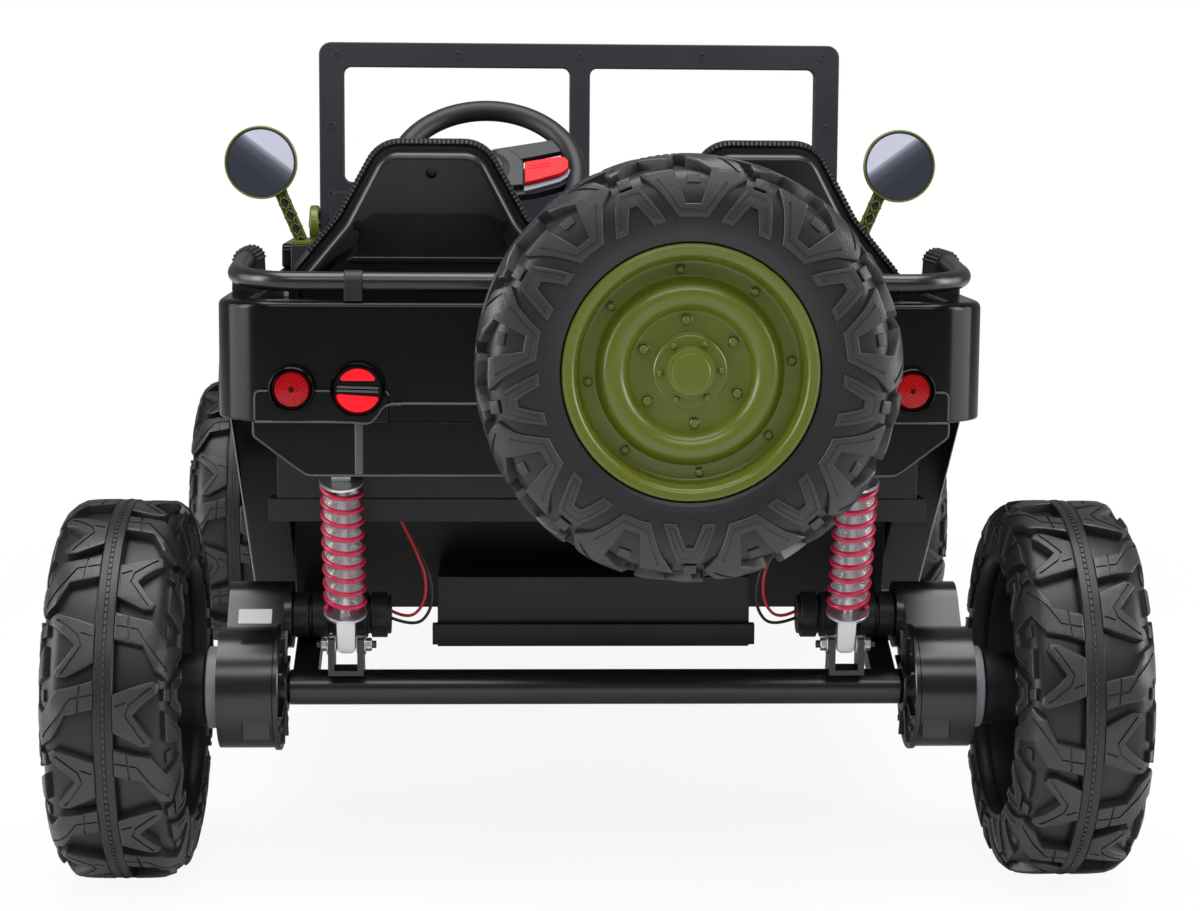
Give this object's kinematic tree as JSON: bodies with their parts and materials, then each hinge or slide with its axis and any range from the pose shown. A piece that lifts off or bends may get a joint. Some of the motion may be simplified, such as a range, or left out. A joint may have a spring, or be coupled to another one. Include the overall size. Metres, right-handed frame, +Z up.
{
  "type": "ride-on toy off-road car",
  "caption": "Child's two-seat electric ride-on toy in the style of a 1940s field car, open topped, with coil-sprung axles, lugged wheels, folding screen and a spare wheel.",
  "frame": {"origin": "on the ground, midway along and across the car", "axes": "+Y forward along the car, +X to the car's right, +Z up"},
  "size_m": [0.845, 1.4, 0.673],
  "materials": {
    "body_black": "gloss",
    "body_matte": "satin",
    "olive": "satin",
    "red_lens": "gloss",
    "headlamp": "clear",
    "tyre": "matte",
    "steel_black": "satin",
    "zinc": "satin",
    "clear_sleeve": "clear",
    "coil_red": "gloss",
    "seat_pad": "grained",
    "mirror": "polished",
    "grey_plastic": "satin",
    "horn_red": "gloss",
    "lead_red": "satin",
    "lead_black": "satin"
  },
  "bodies": {
    "chassis": {"rear_tub": "body_black", "rear_lamps": "red_lens", "rear_fascia": "body_black", "floor_pan": "body_matte", "side_panels": "body_black", "cowl": "body_black", "dashboard": "body_matte", "bonnet": "body_black", "front_fenders": "body_black", "grille": "body_black", "headlamps": "headlamp", "chassis_rails": "steel_black", "front_bumper": "steel_black", "rear_axle": "steel_black", "gearboxes": "body_black", "drive_rings": "grey_plastic", "motors": "body_matte", "shock_rods": "zinc", "shock_sleeves": "clear_sleeve", "shock_springs": "coil_red", "shock_brackets": "steel_black", "battery_box": "body_matte", "front_axle": "steel_black", "windscreen_brackets": "olive", "mirror_posts": "body_matte", "mirrors": "olive", "mirror_glasses": "mirror", "grab_rail": "steel_black", "rail_mounts": "body_matte", "seat_shells": "body_matte", "seat_pads": "seat_pad", "spare_bracket": "steel_black", "tyre_spare": "tyre", "rim_spare": "olive", "lead_red_left": "lead_red", "lead_red_right": "lead_red", "lead_black_left": "lead_black", "lead_black_right": "lead_black"},
    "windscreen": {"windscreen_frame": "body_matte"},
    "steering": {"steering_wheel": "body_matte", "horn_buttons": "horn_red", "steering_column": "steel_black"},
    "left_knuckle": {"knuckle_left": "steel_black"},
    "right_knuckle": {"knuckle_right": "steel_black"},
    "tie_rod": {"tie_rod": "steel_black"},
    "rear_left_wheel": {"tyre_rear_left": "tyre", "rim_rear_left": "olive"},
    "rear_right_wheel": {"tyre_rear_right": "tyre", "rim_rear_right": "olive"},
    "front_left_wheel": {"tyre_front_left": "tyre", "rim_front_left": "olive"},
    "front_right_wheel": {"tyre_front_right": "tyre", "rim_front_right": "olive"}
  },
  "joints": [
    {"name": "rear_left_wheel_spin", "type": "hinge", "parent": "chassis", "child": "rear_left_wheel", "pos_m": [-0.3695, -0.436, 0.15], "axis": [1, 0, 0], "continuous": true},
    {"name": "rear_right_wheel_spin", "type": "hinge", "parent": "chassis", "child": "rear_right_wheel", "pos_m": [0.3695, -0.436, 0.15], "axis": [1, 0, 0], "continuous": true},
    {"name": "front_left_wheel_spin", "type": "hinge", "parent": "left_knuckle", "child": "front_left_wheel", "pos_m": [-0.3695, 0.492, 0.15], "axis": [1, 0, 0], "continuous": true},
    {"name": "front_right_wheel_spin", "type": "hinge", "parent": "right_knuckle", "child": "front_right_wheel", "pos_m": [0.3695, 0.492, 0.15], "axis": [1, 0, 0], "continuous": true},
    {"name": "steering_turn", "type": "hinge", "parent": "chassis", "child": "steering", "pos_m": [-0.09, -0.106, 0.549], "axis": [0, -0.7071, 0.7071], "range_deg": [-60, 60]},
    {"name": "left_steer", "type": "hinge", "parent": "chassis", "child": "left_knuckle", "pos_m": [-0.29, 0.492, 0.15], "axis": [0, 0, 1], "range_deg": [-22, 22]},
    {"name": "right_steer", "type": "hinge", "parent": "chassis", "child": "right_knuckle", "pos_m": [0.29, 0.492, 0.15], "axis": [0, 0, 1], "range_deg": [-22, 22]},
    {"name": "tie_rod_pivot", "type": "hinge", "parent": "left_knuckle", "child": "tie_rod", "pos_m": [-0.29, 0.432, 0.197], "axis": [0, 0, 1], "range_deg": [-22, 22]},
    {"name": "windscreen_fold", "type": "hinge", "parent": "chassis", "child": "windscreen", "pos_m": [0, 0.104, 0.496], "axis": [-1, 0, 0], "range_deg": [0, 88]}
  ],
  "couplings": [
    {"joint": "left_steer", "follows": "steering_turn", "ratio": 0.36667},
    {"joint": "right_steer", "follows": "steering_turn", "ratio": 0.36667},
    {"joint": "tie_rod_pivot", "follows": "steering_turn", "ratio": -0.36667}
  ]
}
